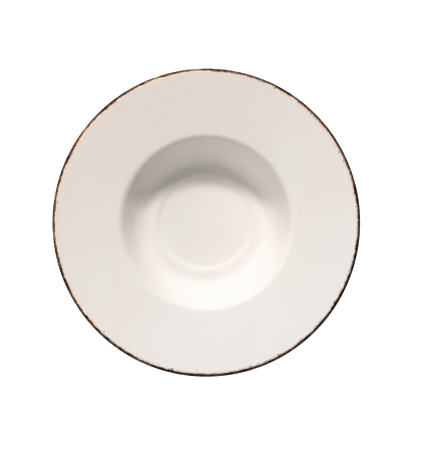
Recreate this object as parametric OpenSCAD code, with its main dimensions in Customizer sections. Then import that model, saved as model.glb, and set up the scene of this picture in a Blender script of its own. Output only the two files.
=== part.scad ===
// Tasting plate: a fired clay body with a deep round well, a wide rising flange and a foot ring,
// under an ivory glaze that a brown glaze interrupts round the edge.
// The plate stands on z = 0 with its axis on Z.

/* [Flange] */
// Diameter over the glaze at the widest point of the edge, mm
plate_d = 165; // [150:1:190]
// Rise of the flange's face above level, degrees
flange_slope = 7; // [2:0.5:10]
// How much steeper the back of the flange is than its face, degrees
flange_taper = 1; // [0:0.25:3]
// Thickness of the clay at the rounded edge, mm
edge_t = 3.8; // [3:0.1:5]

/* [Well] */
// Diameter at which wall and flange would meet if the lip were sharp, mm
mouth_d = 91.8; // [84:0.2:100]
// Diameter at which wall and floor would meet if their corner were sharp, mm
floor_d = 70.6; // [64:0.2:76]
// Depth from the floor beside the wall up to the sharp lip, mm
well_depth = 16.4; // [12:0.2:22]
// Radius of the rounded lip, mm
lip_r = 4.6; // [3:0.2:8]
// How far inside that corner the wall's flatter toe starts, mm
toe_w = 2.8; // [1:0.1:4]
// Slope of the toe above level, degrees
toe_slope = 36; // [20:1:45]
// Radius of the rounded corner between toe and wall, mm
toe_r = 17; // [4:0.5:20]
// Radius of the rounded corner between floor and toe, mm
corner_r = 7.2; // [3:0.2:12]

/* [Floor ring] */
// Height of the soft step round the middle of the floor, mm
ring_h = 0.85; // [0.2:0.05:1.2]
// Width of the step's slope, mm
ring_run = 2.5; // [1.6:0.1:5]
// Radius that softens the step at its foot and at its top, mm
ring_r = 4; // [1:0.5:6]
// Level shelf between the step and the rounded corner of the floor, mm
shelf_w = 2.9; // [0.5:0.1:4]

/* [Back] */
// Thickness of the clay in the middle of the floor, mm
floor_t = 4.6; // [3.6:0.1:7]
// Thickness of the clay in the well's wall, mm
wall_t = 4.4; // [3.6:0.1:6]
// Radius of the finger corner under the flange, mm
under_r = 5; // [2:0.5:8]
// Radius of the heel, where the wall turns in to the underside, mm
heel_r = 12; // [6:0.5:14]

/* [Foot] */
// Level margin between the heel's round and the side of the foot, mm
foot_inset = 1.4; // [1:0.1:3]
// Width of the foot ring across its lower corners, mm
foot_w = 3.2; // [2.4:0.1:5]
// Height of the underside above the table, outside the foot, mm
foot_h = 2.2; // [2:0.1:4]
// Height of the recess above the table, inside the foot, mm
recess_h = 1.8; // [1.5:0.1:3]
// Slope of the foot's sides, degrees
foot_draft = 10; // [0:1:20]
// Radius of the foot's rims and roots, mm
foot_r = 0.7; // [0.5:0.05:0.8]

/* [Glaze] */
// Thickness of the glaze, mm
glaze_t = 0.25; // [0.15:0.05:0.4]
// Where the brown edge starts on the face, degrees round the edge from straight up
band_start = 10; // [4:1:40]
// Where the brown edge ends on the back, degrees round the edge from straight up
band_end = 150; // [110:1:165]

/* [Hidden] */
$fn = 180;

// Largest turn between two points of a rounded stretch, degrees
arc_step = 5;
// Points nearer to each other than this are one point, mm
tiny = 0.001;
// Gap between the clay and a coat of glaze, so that no face lies in another, mm
bond = 0.01;
// Largest share of a straight stretch that the rounds at its two ends may take
round_share = 0.96;
// Largest share of the wall's slope that its toe may have
toe_share = 0.9;

// Colours of the fired clay and of the two glazes
clay_colour = [0.86, 0.80, 0.72];
ivory_colour = [0.91, 0.89, 0.86];
brown_colour = [0.24, 0.15, 0.10];

// The clay's outline runs from the middle of the floor out to the edge and back under the plate to the
// axis. A heading is the way it runs at a point, in degrees, and the clay lies to the right of it.
level_in = -180;
ring_heading = atan2(ring_h, ring_run);
wall_heading = atan2(well_depth, (mouth_d - floor_d) / 2);
toe_heading = min(toe_slope, toe_share * wall_heading);
back_heading = level_in + flange_slope + flange_taper;
wall_back_heading = level_in + wall_heading;
foot_down = -90 - foot_draft;
foot_up = level_in - 90 + foot_draft;

function along(heading) = [cos(heading), sin(heading)];
function outward(heading) = [-sin(heading), cos(heading)];
function headings(from, to) =
    let (steps = ceil(abs(to - from) / arc_step))
    [for (i = [0 : steps]) from + (to - from) * i / steps];

// How far from a sharp corner its round starts
function setback(turn, r) = r * tan(abs(turn) / 2);

// A rounded corner of the outline, moved out of the clay by the thickness of a coat
function bend(corner, from, to, r, coat) =
    let (
        side = sign(to - from),
        centre = corner - setback(to - from, r) * along(from) + side * r * outward(from)
    )
    [for (h = headings(from, to)) centre + (coat - side * r) * outward(h)];

// Face: heights and sharp corners
floor_z = recess_h + floor_t;
shelf_z = floor_z + ring_h;
lip_z = shelf_z + well_depth;
floor_corner = [floor_d / 2, shelf_z];
lip_corner = [mouth_d / 2, lip_z];
toe_corner = [floor_d / 2 - toe_w, shelf_z];
wall_rise = tan(wall_heading);
toe_rise = tan(toe_heading);
knee_r_at = (floor_corner.x * wall_rise - toe_corner.x * toe_rise) / (wall_rise - toe_rise);
knee = [knee_r_at, shelf_z + (knee_r_at - toe_corner.x) * toe_rise];

// Face: rounds, made smaller where a stretch is too short for them
toe_room = round_share * norm(knee - toe_corner);
toe_rounds = setback(toe_heading, corner_r) + setback(wall_heading - toe_heading, toe_r);
toe_fit = min(1, toe_room / toe_rounds);
corner_round = corner_r * toe_fit;
toe_round = toe_r * toe_fit;
lip_turn = wall_heading - flange_slope;
lip_room = round_share * norm(lip_corner - knee) - setback(wall_heading - toe_heading, toe_round);
lip_round = lip_r * min(1, lip_room / setback(lip_turn, lip_r));
ring_room = round_share * norm([ring_run, ring_h]);
ring_round = ring_r * min(1, ring_room / (2 * setback(ring_heading, ring_r)));

// Face: the step lies a shelf's width inside the rounded corner
ring_high_r = toe_corner.x - setback(toe_heading, corner_round) - shelf_w
    - setback(ring_heading, ring_round);
ring_high = [ring_high_r, shelf_z];
ring_low = [ring_high_r - ring_run, floor_z];

// Edge: a half round that the flange's face and back run into
edge_r = edge_t / 2;
edge_centre_r = plate_d / 2 - glaze_t - edge_r;
edge_centre = [
    edge_centre_r,
    lip_z + (edge_centre_r - lip_corner.x) * tan(flange_slope) - edge_r / cos(flange_slope)
];

// Back: the flange's back meets the wall's back, which lies a wall's thickness outside the well
flange_back = edge_centre + edge_r * outward(back_heading);
flange_back_rise = tan(back_heading);
wall_drop = wall_t / cos(wall_heading);
function wall_back_z(r) = shelf_z - wall_drop + (r - floor_corner.x) * wall_rise;
under_r_at = flange_back.x
    + (flange_back.y - wall_back_z(flange_back.x)) / (wall_rise - flange_back_rise);
under_corner = [under_r_at, wall_back_z(under_r_at)];
heel_corner = [floor_corner.x + (foot_h - shelf_z + wall_drop) / wall_rise, foot_h];

// Foot: a ring set in from the heel, its sides leaning in towards the standing face
foot_root_out_r = heel_corner.x - setback(level_in - wall_back_heading, heel_r)
    - foot_inset - setback(foot_down - level_in, foot_r);
foot_root_out = [foot_root_out_r, foot_h];
foot_rim_out = [foot_root_out_r - foot_h * tan(foot_draft), 0];
foot_rim_in = foot_rim_out - [foot_w, 0];
foot_root_in = [foot_rim_in.x - recess_h * tan(foot_draft), recess_h];

// Stretches of the outline, each moved out of the clay by the thickness of a coat
function face_run(coat) = concat(
    [[0, floor_z + coat]],
    bend(ring_low, 0, ring_heading, ring_round, coat),
    bend(ring_high, ring_heading, 0, ring_round, coat),
    bend(toe_corner, 0, toe_heading, corner_round, coat),
    bend(knee, toe_heading, wall_heading, toe_round, coat),
    bend(lip_corner, wall_heading, flange_slope, lip_round, coat)
);
function edge_run(from, to, coat) =
    [for (h = headings(from, to)) edge_centre + (edge_r + coat) * outward(h)];
function back_run(coat) = concat(
    bend(under_corner, back_heading, wall_back_heading, under_r, coat),
    bend(heel_corner, wall_back_heading, level_in, heel_r, coat),
    bend(foot_root_out, level_in, foot_down, foot_r, coat)
);
function foot_rim_out_run(coat) = bend(foot_rim_out, foot_down, level_in, foot_r, coat);
function foot_rim_in_run(coat) = bend(foot_rim_in, level_in, foot_up, foot_r, coat);
function recess_run(coat) = concat(
    bend(foot_root_in, foot_up, level_in, foot_r, coat),
    [[0, recess_h - coat]]
);

// One list of points from several stretches, without the point that two neighbours share
function joined(runs) =
    let (points = [for (run = runs) each run])
    [for (i = [0 : len(points) - 1]) if (i == 0 || norm(points[i] - points[i - 1]) > tiny) points[i]];

// The stretches that each coat covers. The rims and the standing face of the foot stay bare.
function face_skin(coat) = joined([face_run(coat), edge_run(flange_slope, -band_start, coat)]);
function edge_skin(coat) = edge_run(-band_start, -band_end, coat);
function back_skin(coat) =
    joined([edge_run(-band_end, back_heading, coat), back_run(coat), [foot_rim_out_run(coat)[0]]]);
function recess_skin(coat) =
    let (rim = foot_rim_in_run(coat))
    joined([[rim[len(rim) - 1]], recess_run(coat)]);

module coat_of_glaze(inside, outside) {
    rotate_extrude()
        polygon(concat(inside, [for (i = [len(outside) - 1 : -1 : 0]) outside[i]]));
}

module clay_body() {
    color(clay_colour)
        rotate_extrude()
            polygon(joined([
                face_skin(0),
                edge_skin(0),
                back_skin(0),
                foot_rim_out_run(0),
                foot_rim_in_run(0),
                recess_skin(0)
            ]));
}

module face_glaze() {
    color(ivory_colour) coat_of_glaze(face_skin(bond), face_skin(glaze_t));
}

module edge_glaze() {
    color(brown_colour) coat_of_glaze(edge_skin(bond), edge_skin(glaze_t));
}

module back_glaze() {
    color(ivory_colour) coat_of_glaze(back_skin(bond), back_skin(glaze_t));
}

module recess_glaze() {
    color(ivory_colour) coat_of_glaze(recess_skin(bond), recess_skin(glaze_t));
}

clay_body();
face_glaze();
edge_glaze();
back_glaze();
recess_glaze();
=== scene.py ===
# %% [markdown]
# # A glazed tasting plate
# The plate is one fired clay body under coats of glass: ivory on the face, the back and the recess of the
# foot, and a brown line round the edge. The solids of those five pieces come in as a fixed frame, so this
# lesson only has to give them finer surfaces, finishes, a studio and a camera.

# %% The solid plate comes in as the frame
import math

import bmesh
import bpy
from mathutils import Color, Euler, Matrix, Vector


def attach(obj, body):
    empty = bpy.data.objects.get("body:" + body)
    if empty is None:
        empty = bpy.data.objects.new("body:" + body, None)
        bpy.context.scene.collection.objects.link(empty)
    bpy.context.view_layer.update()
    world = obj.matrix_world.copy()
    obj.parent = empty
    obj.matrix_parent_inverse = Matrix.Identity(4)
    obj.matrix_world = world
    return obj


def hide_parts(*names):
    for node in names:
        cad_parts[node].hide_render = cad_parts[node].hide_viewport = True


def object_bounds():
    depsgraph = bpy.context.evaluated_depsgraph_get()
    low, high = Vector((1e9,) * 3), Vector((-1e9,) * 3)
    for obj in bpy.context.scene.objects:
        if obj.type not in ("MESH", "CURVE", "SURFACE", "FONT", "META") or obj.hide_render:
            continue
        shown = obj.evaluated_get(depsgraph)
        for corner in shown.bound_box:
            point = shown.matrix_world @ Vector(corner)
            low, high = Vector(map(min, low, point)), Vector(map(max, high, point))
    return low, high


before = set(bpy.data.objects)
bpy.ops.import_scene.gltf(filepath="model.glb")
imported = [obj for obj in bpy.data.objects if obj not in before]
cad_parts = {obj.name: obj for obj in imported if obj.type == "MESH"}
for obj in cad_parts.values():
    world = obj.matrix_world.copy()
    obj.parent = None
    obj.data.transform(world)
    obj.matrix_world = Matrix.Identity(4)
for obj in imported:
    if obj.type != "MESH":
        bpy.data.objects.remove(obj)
solid_low, solid_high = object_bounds()
MM = 0.001
plate_radius = solid_high.x
plate_height = solid_high.z
print(f"solid plate: {plate_radius / MM:.2f} mm radius, {plate_height / MM:.2f} mm high")

# %% [markdown]
# ## The turned profile
# A plate is turned: every one of its surfaces is a line swept once round an axis. The frame's meshes are
# coarse triangles, fine for measuring but too rough for a smooth glaze, and a subdivision surface would pull
# their corners in. So each piece is cut through its middle with a plane, only the cut line to the right of
# the axis is kept, and that line is spun again in many more steps. The new piece keeps the exact profile of
# the solid and gains a smooth round.

# %% Cutting a solid to its profile
WELD = 0.002 * MM
LONGEST_STRIP = 2.5 * MM


def everything(shape):
    return shape.verts[:] + shape.edges[:] + shape.faces[:]


def profile_of(node):
    """The outline of a solid, cut on the plane y = 0 and kept to the right of the axis."""
    line = bmesh.new()
    line.from_mesh(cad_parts[node].data)
    bmesh.ops.remove_doubles(line, verts=line.verts, dist=WELD)
    bmesh.ops.bisect_plane(
        line, geom=everything(line), dist=WELD, plane_co=(0, 0, 0), plane_no=(1, 0, 0),
        clear_inner=True)
    bmesh.ops.bisect_plane(
        line, geom=everything(line), dist=WELD, plane_co=(0, 0, 0), plane_no=(0, 1, 0),
        clear_inner=True, clear_outer=True)
    bmesh.ops.remove_doubles(line, verts=line.verts, dist=WELD)
    return line


def split_long_runs(line):
    """Straight runs get extra points, so that no strip of the finished piece is very long."""
    for edge in line.edges[:]:
        cuts = math.ceil(edge.calc_length() / LONGEST_STRIP) - 1
        if cuts > 0:
            bmesh.ops.subdivide_edges(line, edges=[edge], cuts=cuts)


# %% Spinning a profile into a piece
QUARTER_TURN = math.tau / 4
QUARTER_STEPS = 90
CORNER_ANGLE = math.radians(40)


def spun_piece(name, line):
    """Spins a profile a quarter round the axis, mirrors that twice and makes a smooth object of it."""
    points = len(line.verts)
    bmesh.ops.spin(
        line, geom=everything(line), cent=(0, 0, 0), axis=(0, 0, 1), angle=QUARTER_TURN,
        steps=QUARTER_STEPS)
    for axis in ("X", "Y"):
        bmesh.ops.mirror(line, geom=everything(line), axis=axis, merge_dist=WELD)
    bmesh.ops.remove_doubles(line, verts=line.verts, dist=WELD)
    bmesh.ops.recalc_face_normals(line, faces=line.faces)
    for face in line.faces:
        face.smooth = True
    for edge in line.edges:
        edge.smooth = edge.calc_face_angle(0) < CORNER_ANGLE
    open_edges = sum(1 for edge in line.edges if len(edge.link_faces) != 2)
    mesh = bpy.data.meshes.new(name)
    line.to_mesh(mesh)
    line.free()
    piece = bpy.data.objects.new(name, mesh)
    bpy.context.scene.collection.objects.link(piece)
    print(f"{name}: {points} profile points, {len(mesh.polygons)} faces, {open_edges} open edges")
    return piece


# %% The five pieces, each in place of its solid
SLOTS = {
    "clay_body": "clay",
    "face_glaze": "ivory_glaze",
    "edge_glaze": "brown_glaze",
    "back_glaze": "ivory_glaze",
    "recess_glaze": "ivory_glaze",
}
pieces = {}
for node, slot in SLOTS.items():
    line = profile_of(node)
    split_long_runs(line)
    piece = spun_piece(node + "_turned", line)
    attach(piece, "root")
    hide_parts(node)
    pieces[node] = piece

# %% [markdown]
# ## Shader maths as plain sums
# A glaze is a pattern of distances: how far a point is from the edge, which way round the plate it lies.
# Its nodes could be laid out by hand, but sums written in Python stay readable. One small class wraps a
# socket and turns + - * / into Math nodes, and one method of a finish adds any other node by its type, its
# settings and its sockets.

# %% A signal, one value that changes over a surface
class Signal:
    """An output of a node. Arithmetic on it adds Math nodes to its finish."""

    def __init__(self, finish, socket):
        self.finish = finish
        self.socket = socket

    def math(self, operation, *values):
        return self.finish.node("ShaderNodeMath", {"operation": operation}, dict(enumerate(values)))

    def __add__(self, other):
        return self.math("ADD", self, other)

    def __sub__(self, other):
        return self.math("SUBTRACT", self, other)

    def __rsub__(self, other):
        return self.math("SUBTRACT", other, self)

    def __mul__(self, other):
        return self.math("MULTIPLY", self, other)

    def __truediv__(self, other):
        return self.math("DIVIDE", self, other)

    __radd__ = __add__
    __rmul__ = __mul__

    def root(self):
        return self.math("SQRT", self)

    def pick(self, output):
        """Another output of the same node."""
        return Signal(self.finish, self.socket.node.outputs[output])

    def step(self, low, high):
        """0 below low, 1 above high and a soft step between them."""
        settings = {"interpolation_type": "SMOOTHSTEP"}
        sockets = {"Value": self, "From Min": low, "From Max": high}
        return self.finish.node("ShaderNodeMapRange", settings, sockets)


# %% A finish, the nodes of a material or of the sky
NOISE_MIDDLE = 0.5
# A Mix node has sockets of the same names for numbers, vectors and colours, so colours go by their places.
MIX_FACTOR = 0
MIX_FIRST = 6
MIX_SECOND = 7
MIX_RESULT = 2


class Finish:
    """Nodes that are added one by one and end in one shader."""

    def __init__(self, owner):
        owner.use_nodes = True
        self.owner = owner
        self.tree = owner.node_tree
        self.tree.nodes.clear()

    def node(self, kind, settings, sockets, output=0):
        made = self.tree.nodes.new(kind)
        for setting, value in settings.items():
            setattr(made, setting, value)
        for key, value in sockets.items():
            if isinstance(value, Signal):
                self.tree.links.new(value.socket, made.inputs[key])
            else:
                made.inputs[key].default_value = value
        return Signal(self, made.outputs[output] if made.outputs else None)

    def blend(self, factor, first, second):
        """A colour between two colours."""
        sockets = {MIX_FACTOR: factor, MIX_FIRST: first, MIX_SECOND: second}
        return self.node("ShaderNodeMix", {"data_type": "RGBA"}, sockets, output=MIX_RESULT)

    def either(self, factor, first, second):
        """The first shader where the factor is 0, the second where it is 1."""
        return self.node("ShaderNodeMixShader", {}, dict(enumerate((factor, first, second))))

    def vector(self, x, y, z):
        return self.node("ShaderNodeCombineXYZ", {}, {"X": x, "Y": y, "Z": z})

    def noise(self, vector, size, detail=2.0, roughness=0.5):
        """Cloudy noise about 0, mostly from -0.25 to 0.25, with lumps of about this size."""
        sockets = {"Vector": vector, "Scale": 1 / size, "Detail": detail, "Roughness": roughness}
        return self.node("ShaderNodeTexNoise", {}, sockets) - NOISE_MIDDLE

    def relief(self, height, depth):
        """Bumps of this height signal, where a height of 1 stands this many metres proud."""
        return self.node("ShaderNodeBump", {}, {"Strength": 1.0, "Distance": depth, "Height": height})

    def surface(self, sockets):
        """One Principled shader with these sockets."""
        return self.node("ShaderNodeBsdfPrincipled", {}, sockets)

    def end(self, kind, shader):
        """Ends the nodes in this shader and gives back the material or the sky."""
        self.node(kind, {}, {"Surface": shader})
        return self.owner


# %% Colours as they look on a screen
SCREEN_WHITE = 255
OPAQUE = 1.0


def paint(*levels):
    """Red, green and blue from 0 to 255, made linear for the shader."""
    on_screen = Color([level / SCREEN_WHITE for level in levels])
    return (*on_screen.from_srgb_to_scene_linear(), OPAQUE)


# %% [markdown]
# ## Where a point lies on the plate
# The finishes measure in millimetres from the plate's own axis. A flattened map of the plate could give
# that place too, but Object coordinates need no map and don't move when the camera does. A point's place on
# the rim circle, its direction from the axis times the plate's radius, lets a pattern run along the edge
# without changing across it.

# %% Places on the plate
RIM = plate_radius / MM
print(f"the patterns run out to {RIM:.2f} mm from the axis")


class Place:
    """The place of a point on the plate, in millimetres."""

    def __init__(self, finish):
        metres = finish.node("ShaderNodeTexCoord", {}, {}, output="Object")
        self.point = finish.node(
            "ShaderNodeVectorMath", {"operation": "SCALE"}, {"Vector": metres, "Scale": 1 / MM})
        self.x = finish.node("ShaderNodeSeparateXYZ", {}, {"Vector": self.point})
        self.y = self.x.pick("Y")
        self.z = self.x.pick("Z")
        self.radius = (self.x * self.x + self.y * self.y).root()
        self.from_edge = RIM - self.radius
        self.across = self.x / self.radius * RIM
        self.up = self.y / self.radius * RIM


# %% [markdown]
# ## The ivory glaze
# The ivory is a smooth satin glass with a faint mottle and fine rings left by the turning. Toward the top
# and a little left, where the flange gets less of the key lamp, it is painted warmer and darker: painted
# shade. A picture could be wrapped round the plate, but noise has no seam and stays sharp from close by:
# one cloud of it makes the mottle, and another, squeezed along the radius and stretched round the plate,
# makes the rings.

# %% The ivory
IVORY = paint(230, 224, 218)
IVORY_COOL = paint(230, 225, 220)
IVORY_WARM = paint(228, 219, 210)
CLOUD_SIZE = 30.0
CLOUD_WARMTH = 1.6
SHADE_SIDE_LEAN = 0.4
SHADE_SIDE_WARMTH = 0.55
COOL_TO_WARM = (-0.5, 0.5)
RING_SIZE = 5.0
RING_STRETCH = 0.12
RING_SQUEEZE = 2.0
RING_TONES = (-1 / 3, 1 / 3)
RING_COVER = 0.6


def ivory(finish, at):
    """Mottled ivory with painted shade at the top, and the turning's fine rings as a signal for the relief.
    """
    cloud = finish.noise(at.point, CLOUD_SIZE, detail=3)
    # painted shade: the ivory turns warmer and darker toward the top and a little left, where the flange
    # gets less key lamp
    painted_shade_side = (at.y - at.x * SHADE_SIDE_LEAN) / RIM
    warmth = (cloud * CLOUD_WARMTH + painted_shade_side * SHADE_SIDE_WARMTH).step(*COOL_TO_WARM)
    mottle_and_shade = finish.blend(warmth, IVORY_COOL, IVORY_WARM)
    ring_place = finish.vector(at.across * RING_STRETCH, at.up * RING_STRETCH, at.radius * RING_SQUEEZE)
    rings = finish.noise(ring_place, RING_SIZE, detail=3, roughness=0.6)
    return finish.blend(rings.step(*RING_TONES) * RING_COVER, mottle_and_shade, IVORY), rings


# %% [markdown]
# ## The brown edge
# The brown is wiped round the edge by hand. It lies darkest on the very edge, wavers, thins to a caramel
# fringe, and leaves smudges and specks on the ivory. Painted shade makes it heavier, wider and darker toward
# the lower right, away from the key lamp, and painted light makes it thinner and lighter toward the upper
# left, where the ivory next to it takes a warmer, darker blush, partly at random and partly painted shade.
# It could be cut as a ring of its own colour, but that would end in a hard line where one coat meets the
# next. So every coat carries the same pattern, as a function of the distance to the edge, and the colour
# runs on without a break.

# %% The stroke of brown, in millimetres from the edge
BAND_WIDTH = 1.7
HEIGHT_COUNTS = 0.9
DRIFT_SIZE = 26.0
WAVER_SIZE = 6.0
NIBBLE_SIZE = 1.5
SHADE_SIDE_WEIGHT = 0.22
LOAD_AND_SHADE_REACH = 0.6
WAVER_REACH = 1.1
NIBBLE_REACH = 0.9
LIT_THIN_TO_SHADED_HEAVY = (-0.464, 0.25)


class Stroke:
    """How heavily the brown lies round the plate, partly painted shade, and how deep inside the brown a
    point lies.
    """

    def __init__(self, finish, at):
        self.along = finish.vector(at.across, at.up, at.z * HEIGHT_COUNTS)
        drift = finish.noise(self.along, DRIFT_SIZE, detail=1)
        self.waver = finish.noise(self.along, WAVER_SIZE, detail=3)
        self.nibble = finish.noise(at.point, NIBBLE_SIZE, detail=2)
        # painted shade and light: the brown is heavier and darker toward the lower right, away from the key
        # lamp, and thinner and lighter toward the upper left; the drift adds random unevenness
        self.load = (at.across - at.up) * (SHADE_SIDE_WEIGHT / RIM) + drift
        unevenness = self.load * LOAD_AND_SHADE_REACH + self.waver * WAVER_REACH + self.nibble * NIBBLE_REACH
        self.depth = BAND_WIDTH + unevenness - at.from_edge
        # the thin side: partly random, partly painted light toward the upper left
        self.lit_thin_side = 1 - self.load.step(*LIT_THIN_TO_SHADED_HEAVY)


# %% The tones of the brown
BLACK_BROWN = paint(20, 12, 9)
BROWN = paint(70, 45, 33)
RUST = paint(98, 66, 50)
TAN = paint(164, 132, 106)
LONG_DAPPLE = 14.0
LONG_CONTRAST = 2.6
SHORT_DAPPLE = 2.4
SHORT_CONTRAST = 3.2
LOAD_AND_SHADE_DARKENS = 0.9
BLACK_TO_BROWN = (-0.4, 0.1)
BROWN_TO_RUST = (0.05, 0.4)
PATCH_SIZE = 9.0
PATCH_WEAR = 2.0
NIBBLE_WEAR = 0.9
LOAD_AND_SHADE_KEEPS = 0.7
WHOLE_TO_WEAR_AND_LIGHT = (0.3, 0.55)
WEAR_AND_LIGHT_COVER = 0.9


def brown_tones(finish, at, stroke):
    """Dapples from black to rust, worn to tan in patches; painted shade at lower right, light at upper left.
    """
    long_dapple = finish.noise(stroke.along, LONG_DAPPLE, detail=2) * LONG_CONTRAST
    short_dapple = finish.noise(stroke.along, SHORT_DAPPLE, detail=2) * SHORT_CONTRAST
    # painted shade: the heavier lower right turns darker
    tone = long_dapple + short_dapple - stroke.load * LOAD_AND_SHADE_DARKENS
    brown = finish.blend(tone.step(*BLACK_TO_BROWN), BLACK_BROWN, BROWN)
    brown = finish.blend(tone.step(*BROWN_TO_RUST), brown, RUST)
    patches = finish.noise(at.point, PATCH_SIZE, detail=2) * PATCH_WEAR
    # tan wear, with painted light letting more of it show toward the upper left
    wear_and_light = patches + stroke.nibble * NIBBLE_WEAR - stroke.load * LOAD_AND_SHADE_KEEPS
    return finish.blend(wear_and_light.step(*WHOLE_TO_WEAR_AND_LIGHT) * WEAR_AND_LIGHT_COVER, brown, TAN)


# %% Specks on the ivory beside the brown
SPECK_SPACING = 1.9
SPECK_SIZE = 0.4
SPECK_RIM = (-0.06, 0.1)
SPECK_ZONE = (1.2, 5.0)
SPECK_CHANCE = 0.9
CLEAN_LIT_THIN_SIDE = 0.75
DRAWN = (0.0, 0.05)


def specks(finish, at, stroke):
    """Small spots of unequal size. Each cell of a Voronoi pattern draws lots for its own spot."""
    cells = finish.node(
        "ShaderNodeTexVoronoi", {}, {"Vector": at.point, "Scale": 1 / SPECK_SPACING}, output="Distance")
    lot = finish.node("ShaderNodeSeparateColor", {}, {"Color": cells.pick("Color")})
    closeness = 1 - at.from_edge.step(*SPECK_ZONE)
    # fewer specks on the thin side, which carries painted light toward the upper left
    chance = closeness * closeness * (1 - stroke.lit_thin_side * CLEAN_LIT_THIN_SIDE)
    spot = (lot.pick("Green") * SPECK_SIZE - cells).step(*SPECK_RIM)
    return spot * (chance * SPECK_CHANCE - lot).step(*DRAWN)


# %% The brown edge, layer on layer
BLUSH_SHADE = paint(230, 216, 203)
BLUSH_SHADE_ZONE = (0.0, 16.0)
BLUSH_SHADE_COVER = 0.4
PEACH = paint(240, 212, 186)
PEACH_ZONE = (-2.0, 0.1)
PEACH_COVER = 0.15
PEACH_LIT_THIN_SIDE = 0.75
SMUDGE_AND_SHADE = paint(122, 106, 94)
SMOKE_AND_SHADE_ZONE = (-1.2, 0.2)
SMOKE_AND_SHADE_NIBBLE = 1.6
SMOKE_AND_SHADE_COVER = 0.32
SPECK_COVER = 0.75
CARAMEL = paint(144, 106, 80)
FRINGE_ZONE = (-0.22, 0.18)
CORE_ZONE = (0.0, 0.4)
CORE_NIBBLE = 0.6


def brown_edge(finish, at, ground):
    """Lays the brown edge over a ground colour. Also gives how thick the brown lies, from 0 to 1."""
    stroke = Stroke(finish, at)
    lit_thin_side = stroke.lit_thin_side
    # painted shade: a warmer, darker blush on the ivory within 16 mm of the edge, toward the upper left
    # where the flange gets less key lamp; partly random
    blush_and_shade = (1 - at.from_edge.step(*BLUSH_SHADE_ZONE)) * lit_thin_side * BLUSH_SHADE_COVER
    # more peach on the thin side, which carries painted light toward the upper left
    peach = (stroke.depth + stroke.waver).step(*PEACH_ZONE) * (lit_thin_side * PEACH_LIT_THIN_SIDE + PEACH_COVER)
    # smudge, partly real and partly painted shade, gathering on the heavier lower right; the specks below
    # share its colour
    smoke_and_shade = (stroke.depth + stroke.nibble * SMOKE_AND_SHADE_NIBBLE).step(*SMOKE_AND_SHADE_ZONE) * (1 - lit_thin_side) * SMOKE_AND_SHADE_COVER
    fringe = stroke.depth.step(*FRINGE_ZONE)
    core = (stroke.depth + stroke.nibble * CORE_NIBBLE).step(*CORE_ZONE)
    colour = finish.blend(blush_and_shade, ground, BLUSH_SHADE)
    colour = finish.blend(peach, colour, PEACH)
    colour = finish.blend(smoke_and_shade, colour, SMUDGE_AND_SHADE)
    colour = finish.blend(specks(finish, at, stroke) * SPECK_COVER, colour, SMUDGE_AND_SHADE)
    colour = finish.blend(fringe, colour, CARAMEL)
    return finish.blend(core, colour, brown_tones(finish, at, stroke)), core


# %% Glaze on the four coats
RIPPLE_SIZE = 1.1
RIPPLE_HEIGHT = 0.1
SWELL_SIZE = 9.0
RING_HEIGHT = 0.25
GLAZE_RELIEF = 0.02 * MM
SATIN = 0.66
SATIN_VARIES = 0.06
BROWN_SHINE = 0.16
BROWN_VARIES = 0.2
IVORY_GLOSS = 0.15
BROWN_GLOSS = 0.08


def glaze(name, gloss):
    """Ivory glaze with the brown edge, in a satin gloss. The brown shines a little more."""
    finish = Finish(bpy.data.materials.new(name))
    at = Place(finish)
    ground, rings = ivory(finish, at)
    colour, brown = brown_edge(finish, at, ground)
    ripple = finish.noise(at.point, RIPPLE_SIZE, detail=1)
    swell = finish.noise(at.point, SWELL_SIZE, detail=1)
    height = ripple * RIPPLE_HEIGHT + swell + rings * RING_HEIGHT
    shader = finish.surface({
        "Base Color": colour,
        "Roughness": SATIN + swell * SATIN_VARIES + brown * (ripple * BROWN_VARIES - BROWN_SHINE),
        "Specular IOR Level": gloss,
        "Normal": finish.relief(height, GLAZE_RELIEF),
    })
    return finish.end("ShaderNodeOutputMaterial", shader)


for node in ("face_glaze", "back_glaze", "recess_glaze"):
    pieces[node].data.materials.append(glaze("ivory_" + node, IVORY_GLOSS))
pieces["edge_glaze"].data.materials.append(glaze("brown_edge_glaze", BROWN_GLOSS))
print("glaze on", [node for node in pieces if pieces[node].data.materials])

# %% [markdown]
# ## The bare clay
# Only the standing face of the foot shows the fired clay, because a glazed foot would stick to the kiln
# shelf. It is dry and slightly gritty, buff with darker grains, and it doesn't shine. Grains could be
# modelled one by one, but they are finer than a pencil point, so noise gives their colour and their bumps.

# %% Bare clay for the foot
CLAY = paint(206, 186, 160)
CLAY_DARK = paint(176, 150, 122)
GRAIN = paint(120, 92, 70)
TONE_SIZE = 4.0
DARK_TO_LIGHT = (-0.25, 0.25)
GRIT_SIZE = 0.35
CLAY_TO_GRAIN = (0.35 / 3, 0.95 / 3)
CLAY_RELIEF = 0.05 * MM
CLAY_DRY = 0.82
CLAY_VARIES = 0.15


def bare_clay(name):
    finish = Finish(bpy.data.materials.new(name))
    at = Place(finish)
    tone = finish.noise(at.point, TONE_SIZE, detail=4, roughness=0.6)
    grit = finish.noise(at.point, GRIT_SIZE, detail=3, roughness=0.7)
    colour = finish.blend(tone.step(*DARK_TO_LIGHT), CLAY_DARK, CLAY)
    shader = finish.surface({
        "Base Color": finish.blend(grit.step(*CLAY_TO_GRAIN), colour, GRAIN),
        "Roughness": CLAY_DRY + grit * CLAY_VARIES,
        "Normal": finish.relief(grit + tone, CLAY_RELIEF),
    })
    return finish.end("ShaderNodeOutputMaterial", shader)


clay = bare_clay("bare_clay")
pieces["clay_body"].data.materials.append(clay)
print(f"{clay.name} on {pieces['clay_body'].name}, {len(clay.node_tree.nodes)} nodes")

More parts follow.
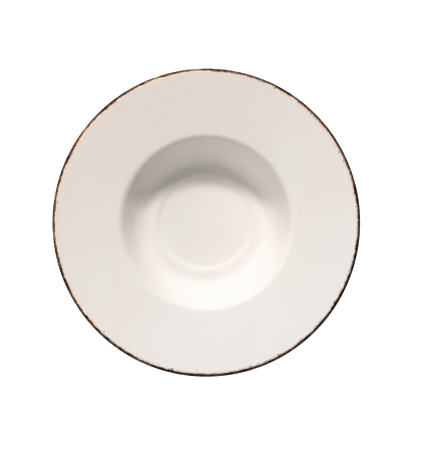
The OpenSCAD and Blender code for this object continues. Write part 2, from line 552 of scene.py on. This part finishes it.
# %% [markdown]
# ## The light table
# The plate stands on a white table that glows, so the ground stays white right up to the foot. A white
# floor under strong lamps would do that too, but it would burn out the plate first. The glow is kept out of
# the diffuse light on the plate, so only the camera and the plate's faint reflections see it. Under the
# plate it is dimmer, as a contact shade, and from below the table is clear, so that the underside can be
# looked at.

# %% The floor
FLOOR_SIZE = 60.0
FLOOR_LEVEL = -0.02 * MM
floor_shape = bmesh.new()
bmesh.ops.create_grid(floor_shape, x_segments=1, y_segments=1, size=FLOOR_SIZE / 2)
bmesh.ops.translate(floor_shape, verts=floor_shape.verts, vec=(0, 0, FLOOR_LEVEL))
floor_mesh = bpy.data.meshes.new("floor")
floor_shape.to_mesh(floor_mesh)
floor_shape.free()
floor = bpy.data.objects.new("floor", floor_mesh)
floor.visible_diffuse = False
bpy.context.scene.collection.objects.link(floor)
print(f"floor: {FLOOR_SIZE:.0f} m wide, {-FLOOR_LEVEL / MM:.2f} mm below the foot")

# %% The glow of the table
TABLE_PALE = paint(200, 200, 200)
TABLE_PALER = paint(206, 206, 206)
TABLE_CLOUD = 400.0
TABLE_MATT = 0.9
GLOW_DIM = paint(150, 150, 150)
GLOW_FULL = paint(255, 255, 255)
GLOW_STRENGTH = 1.2
CONTACT_SHADE = (22.0, 78.0)

table = Finish(bpy.data.materials.new("light_table"))
on_table = Place(table)
cloud = table.noise(on_table.point, TABLE_CLOUD) + NOISE_MIDDLE
top_side = table.surface({
    "Base Color": table.blend(cloud, TABLE_PALE, TABLE_PALER),
    "Roughness": TABLE_MATT,
    "Specular IOR Level": 0.0,
    "Emission Color": table.blend(on_table.radius.step(*CONTACT_SHADE), GLOW_DIM, GLOW_FULL),
    "Emission Strength": GLOW_STRENGTH,
})
from_below = table.node("ShaderNodeNewGeometry", {}, {}, output="Backfacing")
clear = table.node("ShaderNodeBsdfTransparent", {}, {})
glass = table.either(from_below, top_side, clear)
floor_mesh.materials.append(table.end("ShaderNodeOutputMaterial", glass))
print("floor material:", [material.name for material in floor_mesh.materials])

# %% [markdown]
# ## Lamps and sky
# A key lamp from behind shapes the well: its lip throws a soft shadow on the floor, and the near wall is
# brightest. A high wide lamp in front, a weak low one under it and one on the left fill the shade. Lamps
# close by would light the near side more, so these hang far off. The sky sends up the light that a white
# table would bounce, and only the camera sees it as white.

# %% Four lamps
LAMP_DISTANCE = 4.0
DAY = (1.0, 0.995, 1.01)
COOL_DAY = (0.98, 0.995, 1.025)
WARM_DAY = (1.05, 0.997, 0.953)


def lamp(name, turn, rise, spread, strength, colour):
    """A round lamp by its direction and its width seen from the plate, in degrees. A white surface that
    faces a lamp of strength 1 looks just white."""
    turn, rise, spread = (math.radians(angle) for angle in (turn, rise, spread))
    way = Vector((math.cos(turn) * math.cos(rise), math.sin(turn) * math.cos(rise), math.sin(rise)))
    data = bpy.data.lights.new(name, "AREA")
    data.shape = "DISK"
    data.size = 2 * LAMP_DISTANCE * math.tan(spread / 2)
    data.energy = strength * math.pi ** 2 * LAMP_DISTANCE ** 2
    data.color = colour
    made = bpy.data.objects.new(name, data)
    made.location = way * LAMP_DISTANCE
    made.rotation_euler = way.to_track_quat("Z", "Y").to_euler()
    bpy.context.scene.collection.objects.link(made)
    print(f"{name}: {data.size:.2f} m across, {data.energy:.0f} W")


lamp("key_lamp", turn=90, rise=33.6, spread=9, strength=1.095, colour=DAY)
lamp("front_lamp", turn=-92, rise=54, spread=30, strength=0.377, colour=COOL_DAY)
lamp("low_front_lamp", turn=-97, rise=15, spread=12, strength=0.08, colour=DAY)
lamp("left_lamp", turn=173, rise=20, spread=22, strength=0.273, colour=WARM_DAY)


# %% The sky and the bounce from below
def grey(level):
    return (level, level, level, OPAQUE)


ROOM = grey(0.015)
BOUNCE_LEFT = grey(0.95)
BOUNCE_RIGHT = grey(0.5)
BOUNCE_UNDER = grey(0.5)
LEFT_TO_RIGHT = (-0.9, 0.9)
UNDER_TO_LEVEL = (-1.0, -0.05)
HORIZON = (-0.05, 0.03)
BACKDROP = grey(1.0)
BACKDROP_STRENGTH = 1.5

sky = Finish(bpy.data.worlds.new("studio_sky"))
way = sky.node("ShaderNodeTexCoord", {}, {}, output="Generated")
sideways = sky.node("ShaderNodeSeparateXYZ", {}, {"Vector": way})
height = sideways.pick("Z")
around = sky.blend(sideways.step(*LEFT_TO_RIGHT), BOUNCE_LEFT, BOUNCE_RIGHT)
bounce = sky.blend(height.step(*UNDER_TO_LEVEL), BOUNCE_UNDER, around)
dome = sky.blend(height.step(*HORIZON), bounce, ROOM)
room = sky.node("ShaderNodeBackground", {}, {"Color": dome})
backdrop = sky.node("ShaderNodeBackground", {}, {"Color": BACKDROP, "Strength": BACKDROP_STRENGTH})
seen = sky.node("ShaderNodeLightPath", {}, {}, output="Is Camera Ray")
studio = sky.either(seen, room, backdrop)
bpy.context.scene.world = sky.end("ShaderNodeOutputWorld", studio)
print(f"{bpy.context.scene.world.name}: {len(sky.tree.nodes)} nodes")

# %% [markdown]
# ## Exposure
# A camera lets the brightest tones roll off gently instead of cutting them at white. Weaker lamps would
# spare them too, but they would make the whole plate grey. So the colour curve rolls off as a camera does:
# tones up to nine tenths stay as they are, and brighter ones are pressed together.

# %% A soft shoulder for the brightest tones
SHOULDER = 0.9
BRIGHTEST = 2.0
CURVE_TONES = (0.45, 0.9, 0.95, 1.0, 1.1, 1.25, 1.5)
ALL_CHANNELS = 3

view = bpy.context.scene.view_settings
view.view_transform = "Standard"
view.use_curve_mapping = True
tones = view.curve_mapping
tones.white_level = (BRIGHTEST, BRIGHTEST, BRIGHTEST)
curve = tones.curves[ALL_CHANNELS]
curve.points[1].location = (1.0, 1.0)
for tone in CURVE_TONES:
    over = max(0.0, tone - SHOULDER) / (1 - SHOULDER)
    pressed = min(tone, SHOULDER) + (1 - SHOULDER) * (1 - math.exp(-over))
    curve.points.new(tone / BRIGHTEST, pressed)
tones.update()
print("tone curve:", [(round(p.location.x * BRIGHTEST, 2), round(p.location.y, 3)) for p in curve.points])

# %% [markdown]
# ## The camera
# The photograph looks almost straight down from a good way off. A short lens close by would show more of
# the wall, so a long lens is chosen, which keeps the rim and the floor of the well at nearly one scale. The
# view point lies a little to the left, so the floor shifts in the well.

# %% Camera above the plate
IMAGE_HEIGHT = 450
IMAGE_WIDTH = 434
SEEN_RADIUS = 154.4
SEEN_CENTRE = (207.0, 222.85)
LENS = 150.0
SENSOR = 36.0
FARTHEST = 50.0
LEAN_LEFT = math.radians(3.2)
LEAN_BACK = math.radians(1.1)
EDGE_HALF = 2.15 * MM

edge_level = plate_height - EDGE_HALF
pixel = plate_radius / SEEN_RADIUS
distance = LENS / SENSOR * IMAGE_HEIGHT * pixel
aim = Vector((
    (IMAGE_WIDTH / 2 - SEEN_CENTRE[0]) * pixel,
    (SEEN_CENTRE[1] - IMAGE_HEIGHT / 2) * pixel,
    edge_level))
lean = Euler((-LEAN_BACK, -LEAN_LEFT, 0.0))
camera_data = bpy.data.cameras.new("camera")
camera_data.lens = LENS
camera_data.sensor_width = SENSOR
camera_data.clip_end = FARTHEST
camera = bpy.data.objects.new("camera", camera_data)
camera.rotation_euler = lean
camera.location = aim + lean.to_matrix() @ Vector((0.0, 0.0, distance))
bpy.context.scene.collection.objects.link(camera)
bpy.context.scene.camera = camera
print(f"camera {distance:.3f} m from the rim, at {[round(c, 3) for c in camera.location]}")
